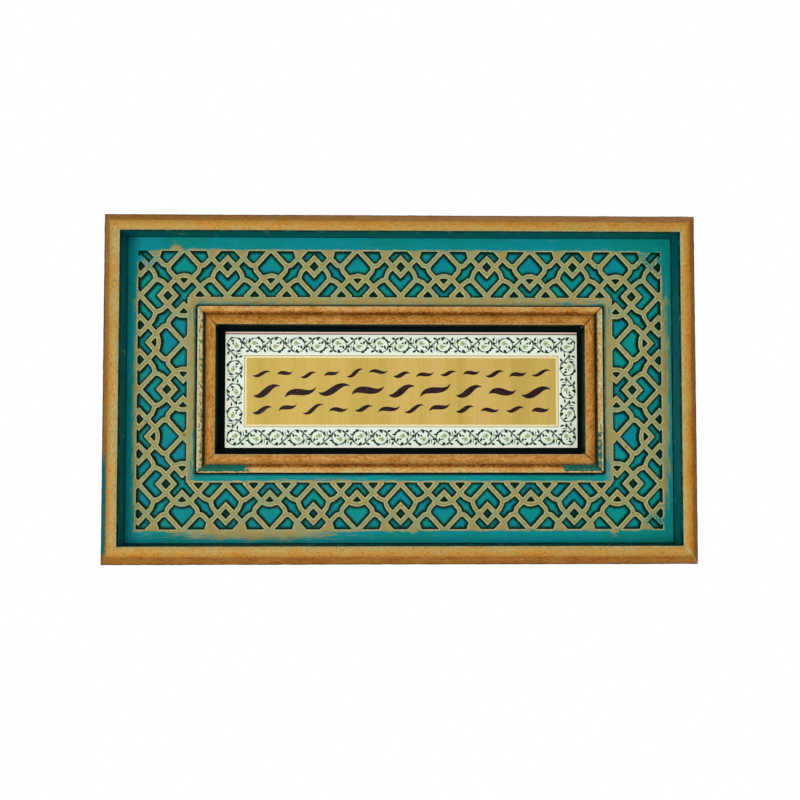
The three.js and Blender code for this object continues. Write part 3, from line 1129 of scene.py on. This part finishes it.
def print_material(name, colour):
    """Printed colour with a faint unevenness"""
    paint = Paint("print_" + name, PRINT_ROUGHNESS)
    cloud = paint.noise(paint.place(), 3, 3)
    faded = tuple(0.9 * c + 0.02 for c in colour[:3]) + (1.0,)
    return paint.finish(paint.mix(paint.spread(cloud, 0.35, 0.65, 0.0, 0.6), colour, faded))


def brushed_gold():
    """Printed gold with fine upright brushing and broad bands"""
    paint = Paint("print_gold", 0.45, 0.1)
    place = paint.place()
    lines = paint.noise(paint.stretch(place, (1, 1, 0.01)), 0.7, 2)
    bands = paint.noise(paint.stretch(place, (1, 1, 0.05)), 22, 3)
    gold = paint.ramp(paint.spread(bands, 0.3, 0.7), [
        (0.0, srgb(196, 168, 84)),
        (0.5, srgb(206, 178, 92)),
        (1.0, srgb(214, 182, 104)),
    ])
    return paint.finish(paint.mix(paint.spread(lines, 0.3, 0.7, 0.0, 0.25), gold, srgb(176, 146, 66)))


def bezier(start, pull, other_pull, end, steps=10):
    return [
        (1 - t) ** 3 * start + 3 * (1 - t) ** 2 * t * pull + 3 * (1 - t) * t * t * other_pull + t ** 3 * end
        for t in np.linspace(0, 1, steps + 1)
    ]


def stroke(path, width, fullest=0.5, tip=0.04):
    """A closed outline along a path, widest at that share of its length and tapered to both ends"""
    path = np.array(path)
    ahead = np.gradient(path)
    left = 1j * ahead / np.abs(ahead)
    share = np.linspace(0, 1, len(path))
    power = math.log(0.5) / math.log(fullest)
    half = width / 2 * (tip + (1 - tip) * np.sin(np.pi * share ** power))
    return list(path + left * half) + list((path - left * half)[::-1])


def circle(centre, radius, steps=10):
    return [centre + radius * cmath.exp(2j * math.pi * i / steps) for i in range(steps)]


def leaf(root, tip, width, bend=0.15, fullest=0.55):
    side = 1j * (tip - root) * bend
    path = bezier(root, root + (tip - root) / 3 + side, root + 2 * (tip - root) / 3 + side, tip, 6)
    return stroke(path, width, fullest)


# Leaves of one scroll in millimetres round its centre, as root, tip and width. The real part
# runs along the border and the imaginary part to its outer side.
VINE_LEAVES = [
    (-5.2 - 4.2j, -8.9 - 5.9j, 2.1),
    (-12.6 + 1.2j, -8.1 + 1.0j, 1.9),
    (-13.6 - 3.1j, -9.6 - 2.9j, 1.7),
    (-4.9 - 4.1j, -4.0 - 0.3j, 1.6),
    (1.5 - 7.0j, -1.2 - 3.7j, 2.7),
    (4.7 - 3.8j, 3.0 - 0.1j, 1.9),
    (0.8 + 6.8j, 3.6 + 4.5j, 2.6),
    (-10.6 + 2.8j, -9.2 + 6.7j, 1.9),
    (-0.4 - 1.3j, 2.0 - 2.1j, 1.5),
]
VINE_TENDRILS = [
    (-7.1 + 0.0j, -7.3 + 5.9j, 0.9),
    (-5.0 + 2.1j, -5.4 + 6.2j, 0.9),
    (-4.1 + 4.7j, -1.2 + 5.7j, 1.4),
]
SCROLL_RADIUS = 6.1
SCROLL_LEAVES = (-28, 38, 148, 232)
VINE_JOINT = -5.2 - 4.2j
VINE_FLOWER = -1.2 + 1.5j
VINE_BERRY = 1.4 + 1.0j


def vine_motif():
    """One scroll with its flower and leaves, placed as the leaves above"""
    shares = np.linspace(0, 1, 17)
    radii = SCROLL_RADIUS + 0.6 - 1.2 * shares
    scroll = radii * np.exp(1j * np.radians(330 * shares - 140))
    stem = bezier(-11.4 + 1.0j, -9.6 + 0.2j, -7.4 - 1.6j, VINE_JOINT)
    shapes = [("stem", stroke(scroll, 0.9, 0.5, 0.6)), ("stem", stroke(stem, 1.4, 0.5, 0.6))]
    shapes += [("stem", leaf(root, tip, width)) for root, tip, width in VINE_TENDRILS]
    for angle in SCROLL_LEAVES:
        turn = cmath.exp(1j * math.radians(angle))
        middle, half = SCROLL_RADIUS * turn, 2.3j * turn
        shapes.append(("leaf", leaf(middle - half, middle + half, 1.7, -0.12)))
    shapes += [("leaf", leaf(root, tip, width)) for root, tip, width in VINE_LEAVES]
    for i in range(6):
        petal = VINE_FLOWER + 1.2 * cmath.exp(1j * math.radians(60 * i + 15))
        shapes.append(("flower", circle(petal, 1.0, 8)))
    shapes.append(("heart", circle(VINE_FLOWER, 0.8, 8)))
    shapes.append(("leaf", circle(VINE_BERRY, 0.6, 8)))
    return shapes


def box_outline(left, right, low, high):
    return [complex(left, low), complex(right, low), complex(right, high), complex(left, high)]


def vine_run(start, end):
    """Scrolls along one side of the border, every other one turned over and the last one in the corner"""
    length = abs(end - start)
    along = (end - start) / length
    count = round(length / VINE_STEP)
    shapes = []
    for k in range(1, count + 1):
        centre = start + along * length * k / count
        for colour, outline in vine_motif():
            local = outline if k % 2 else [p.conjugate() for p in outline]
            shapes.append((colour, [centre + along * p * MM for p in local]))
    return shapes


INK_REACH = 262 * MM
INK_ROWS = [
    # height over the field's middle, length and width of a stroke, how many
    (15.5 * MM, 15 * MM, 3.4 * MM, 13),
    (0.5 * MM, 26 * MM, 5.6 * MM, 9),
    (-15 * MM, 17 * MM, 3.8 * MM, 12),
]


def ink_strokes(middle):
    """Rows of wave-like tapered strokes. They stand for the inscription and aren't letters"""
    chance = random.Random(7)
    shapes = []
    for height, length, width, count in INK_ROWS:
        for i in range(count):
            across = INK_REACH * ((i + 0.5) / count - 0.5)
            place = middle + complex(across, height + chance.uniform(-1.5, 1.5) * MM)
            turn = cmath.exp(1j * math.radians(chance.uniform(6, 24)))
            half = length / 2 * chance.uniform(0.9, 1.15) * turn
            bend = (0.55j if i % 2 else -0.55j) * half
            path = bezier(place - half, place - half / 3 + bend, place + half / 3 - bend, place + half, 14)
            shapes.append(("ink", stroke(path, width * chance.uniform(0.9, 1.1), 0.45, 0.06)))
    return shapes


def plaque_shapes():
    """Colours and outlines round the plaque's middle, each over the ones before it"""
    half_width, half_height = plaque_width / 2, plaque_height / 2
    shapes = [("white", box_outline(-half_width, half_width, -half_height, half_height))]
    top = half_height
    for colour, thickness in TOP_LINES:
        shapes.append((colour, box_outline(-half_width, half_width, top - thickness, top)))
        top -= thickness
    right = half_width - BORDER_SIDE
    low, high = BORDER_BOTTOM - half_height, half_height - BORDER_TOP
    mint_side = half_width - WHITE_EDGE
    mint = box_outline(-mint_side, mint_side, WHITE_EDGE - half_height, top - WHITE_EDGE)
    shapes.append(("mint", mint))
    inset = -WHITE_EDGE
    for colour, thickness in [("white", WHITE_EDGE)] + FIELD_LINES + [("gold", 0)]:
        shapes.append((colour, box_outline(inset - right, right - inset, low + inset, high - inset)))
        inset += thickness
    vine_side = half_width - BORDER_SIDE / 2
    vine_high = (top + high) / 2
    vine_low = (low - half_height) / 2
    corners = [-vine_side + vine_low * 1j, -vine_side + vine_high * 1j]
    corners += [vine_side + vine_high * 1j, vine_side + vine_low * 1j]
    for start, end in zip(corners, corners[1:] + corners[:1]):
        shapes += vine_run(start, end)
    return shapes + ink_strokes(complex(0, (low + high) / 2))


def plaque():
    names = list(PRINT_COLOURS) + ["gold"]
    materials = [print_material(name, colour) for name, colour in PRINT_COLOURS.items()] + [brushed_gold()]
    shapes = plaque_shapes()
    outlines = [as_points([p + plaque_middle for p in outline]) for _, outline in shapes]
    points, triangles, owners = fill_plane(outlines)
    kept, slots = [], []
    for triangle, held in zip(triangles, owners):
        if 0 in held:
            kept.append(triangle)
            slots.append(names.index(shapes[max(held)][0]))
    shell = Shell()
    shell.plane(points, kept, PLAQUE_FRONT, slots)
    back = -plaque_high.y
    rim = points[borders(kept)[0]]
    shell.strip((rim, PLAQUE_FRONT), (rim, back))
    shell.plane(rim, [list(range(len(rim)))], back)
    made = shell.piece("plaque_fine", materials, sharp=40)
    stand_in(made, "plaque")


# Camera, light and floor

def camera():
    """Fitted to the straight edges in the photograph"""
    data = bpy.data.cameras.new("camera")
    data.sensor_width = 36
    data.lens = 51.47
    made = add_object("camera", data)
    made.location = (-0.0220, -0.9929, -0.0567)
    made.rotation_euler = [math.radians(a) for a in (92.807, 0.0045, -1.2618)]
    bpy.context.scene.camera = made


def soft_light(name, place, size, power):
    """A square light that faces the panel's middle"""
    data = bpy.data.lights.new(name, "AREA")
    data.shape = "SQUARE"
    data.size = size
    data.energy = power
    made = add_object(name, data)
    made.location = place
    made.rotation_euler = (-Vector(place)).to_track_quat("-Z", "Y").to_euler()


def surroundings():
    """White to the camera, and a dimmer even light on the object"""
    world = bpy.data.worlds.new("studio")
    bpy.context.scene.world = world
    world.use_nodes = True
    tree = world.node_tree
    tree.nodes.clear()
    choose = tree.nodes.new("ShaderNodeMixShader")
    ray = tree.nodes.new("ShaderNodeLightPath")
    out = tree.nodes.new("ShaderNodeOutputWorld")
    tree.links.new(ray.outputs["Is Camera Ray"], choose.inputs[0])
    for socket, strength in ((1, 0.28), (2, 1)):
        light = tree.nodes.new("ShaderNodeBackground")
        light.inputs["Color"].default_value = (1, 1, 1, 1)
        light.inputs["Strength"].default_value = strength
        tree.links.new(light.outputs[0], choose.inputs[socket])
    tree.links.new(choose.outputs[0], out.inputs["Surface"])


def pale_floor():
    mesh = bpy.data.meshes.new("floor")
    shape = bmesh.new()
    bmesh.ops.create_circle(shape, cap_ends=True, segments=96, radius=0.75)
    bmesh.ops.translate(shape, verts=shape.verts, vec=(0, 0, -0.75))
    shape.to_mesh(mesh)
    shape.free()
    mesh.materials.append(Paint("floor_paint", 0.8).finish(srgb(235, 233, 228)))
    add_object("floor", mesh)


camera()
surroundings()
soft_light("key", (-0.75, -2.45, -0.3), 1.0, 36)
soft_light("fill", (0.9, -2.35, 0.2), 2.0, 12)
soft_light("rear", (0.5, 2.4, 0.8), 1.6, 26)
pale_floor()

raw_wood = bare_wood()
panel_size = cad_box[1] - cad_box[0]
outer_opening = (panel_size.x - 2 * OUTER_RAIL, panel_size.z - 2 * OUTER_RAIL)
closed = 0.02 * MM
outer_gaps = {side: (closed, closed) for side in ("top", "bottom", "right", "left")}
inner_gaps = {
    "top": (0.1 * MM, 0.45 * MM),
    "bottom": (0.5 * MM, 0.15 * MM),
    "right": (0.35 * MM, 0.45 * MM),
    "left": (0.15 * MM, 0.12 * MM),
}
rail_ring("outer_rail", outer_section(), outer_opening, OuterLook(), outer_gaps)
rail_ring("inner_rail", inner_section(), inner_opening, InnerLook(), inner_gaps)
lattice_sheet()
ground_board()
backing_board()
plaque()

bpy.context.scene.view_settings.view_transform = "Standard"
